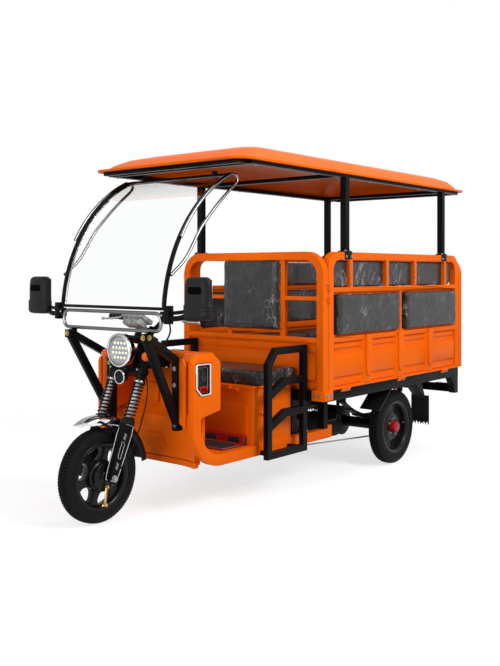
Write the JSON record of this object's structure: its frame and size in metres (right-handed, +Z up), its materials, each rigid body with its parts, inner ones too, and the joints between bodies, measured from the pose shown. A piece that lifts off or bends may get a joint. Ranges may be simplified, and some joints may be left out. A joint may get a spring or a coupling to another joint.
{
  "type": "electric passenger tricycle",
  "caption": "Roofed electric cargo and passenger tricycle with raked fork, curved windscreen, bench body, drop tailgate and lift-up seat.",
  "frame": {"origin": "on the ground under the middle of the vehicle's box", "axes": "+X forward, +Y to the left, +Z up"},
  "size_m": [3.1669, 1.312, 1.8908],
  "materials": {
    "orange_paint": "gloss orange enamel",
    "black_steel": "satin black powder coat",
    "chrome": "bright chrome",
    "stainless": "polished stainless tube",
    "mirror": "mirror glass",
    "black_plastic": "grained black plastic",
    "grey_plastic": "grey plastic",
    "pad": "dark grey vinyl under clear film",
    "mat": "black rubber with a red rim",
    "tyre": "black rubber",
    "rim_black": "gloss black",
    "grips": "black rubber",
    "clear": "clear sheet",
    "lens": "clear lens",
    "lamp_red": "red lens",
    "lamp_amber": "amber lens",
    "steel": "bare steel",
    "dark_steel": "dark primer",
    "alloy": "cast alloy",
    "gold": "gold zinc plate"
  },
  "bodies": {
    "chassis": {"chassis_frame": "black_steel", "bed_frame": "black_steel", "rear_bumper": "black_steel", "corner_posts": "black_steel", "sill_hoops": "orange_paint", "front_wall": "orange_paint", "floor_plate": "orange_paint", "floor_mat": "mat", "lamp_bezels": "chrome", "lamp_lenses": "lamp_red", "screen_struts": "black_steel", "screen_frame": "black_steel", "windscreen": "clear", "screen_braces": "stainless", "mirrors": "black_plastic", "mirror_glass": "mirror", "seat_box": "orange_paint", "battery_pack": "black_plastic", "driver_backrest": "pad", "side_guards": "black_steel", "bed_floor": "dark_steel", "front_arch": "orange_paint", "left_wall": "orange_paint", "right_wall": "orange_paint", "upper_pads": "pad", "back_pads": "pad", "bench_bases": "black_steel", "bench_cushions": "pad", "roof_shell": "orange_paint", "roof_frame": "black_steel", "rear_axle": "black_steel", "drive_motor": "alloy", "leaf_springs": "dark_steel", "mudguards": "black_plastic", "tail_lamps": "lamp_red", "brake_rod": "steel"},
    "steering": {"fork_yokes": "black_steel", "fork_stanchions": "chrome", "fork_springs": "black_steel", "fork_legs": "black_steel", "handlebar": "black_steel", "hand_grips": "grips", "instrument": "grey_plastic", "headlight": "chrome", "headlight_lens": "lens", "horn": "black_plastic", "indicators": "lamp_amber", "front_mudguard": "chrome", "front_flap": "black_plastic", "front_brake": "gold"},
    "front_wheel": {"front_tyre": "tyre", "front_rim": "rim_black"},
    "rear_wheel_left": {"rear_tyre_left": "tyre", "rear_rim_left": "rim_black"},
    "rear_wheel_right": {"rear_tyre_right": "tyre", "rear_rim_right": "rim_black"},
    "gate": {"tailgate": "orange_paint"},
    "seat": {"seat_lid": "black_plastic", "seat_cushion": "pad"}
  },
  "joints": [
    {"name": "steer", "type": "hinge", "parent": "chassis", "child": "steering", "pos_m": [1.07466, 0, 0.78558], "axis": [-0.3827, 0, 0.9239], "range_deg": [-38, 38]},
    {"name": "front_wheel_spin", "type": "hinge", "parent": "steering", "child": "front_wheel", "pos_m": [1.3535, 0, 0.23], "axis": [0, 1, 0], "continuous": true},
    {"name": "rear_wheel_left_spin", "type": "hinge", "parent": "chassis", "child": "rear_wheel_left", "pos_m": [-0.7415, 0.424, 0.2335], "axis": [0, 1, 0], "continuous": true},
    {"name": "rear_wheel_right_spin", "type": "hinge", "parent": "chassis", "child": "rear_wheel_right", "pos_m": [-0.7415, -0.424, 0.2335], "axis": [0, 1, 0], "continuous": true},
    {"name": "tailgate_hinge", "type": "hinge", "parent": "chassis", "child": "gate", "pos_m": [-1.5195, 0, 0.545], "axis": [0, -1, 0], "range_deg": [0, 90]},
    {"name": "seat_hinge", "type": "hinge", "parent": "chassis", "child": "seat", "pos_m": [0.5765, 0, 0.591], "axis": [0, 1, 0], "range_deg": [0, 75]}
  ]
}
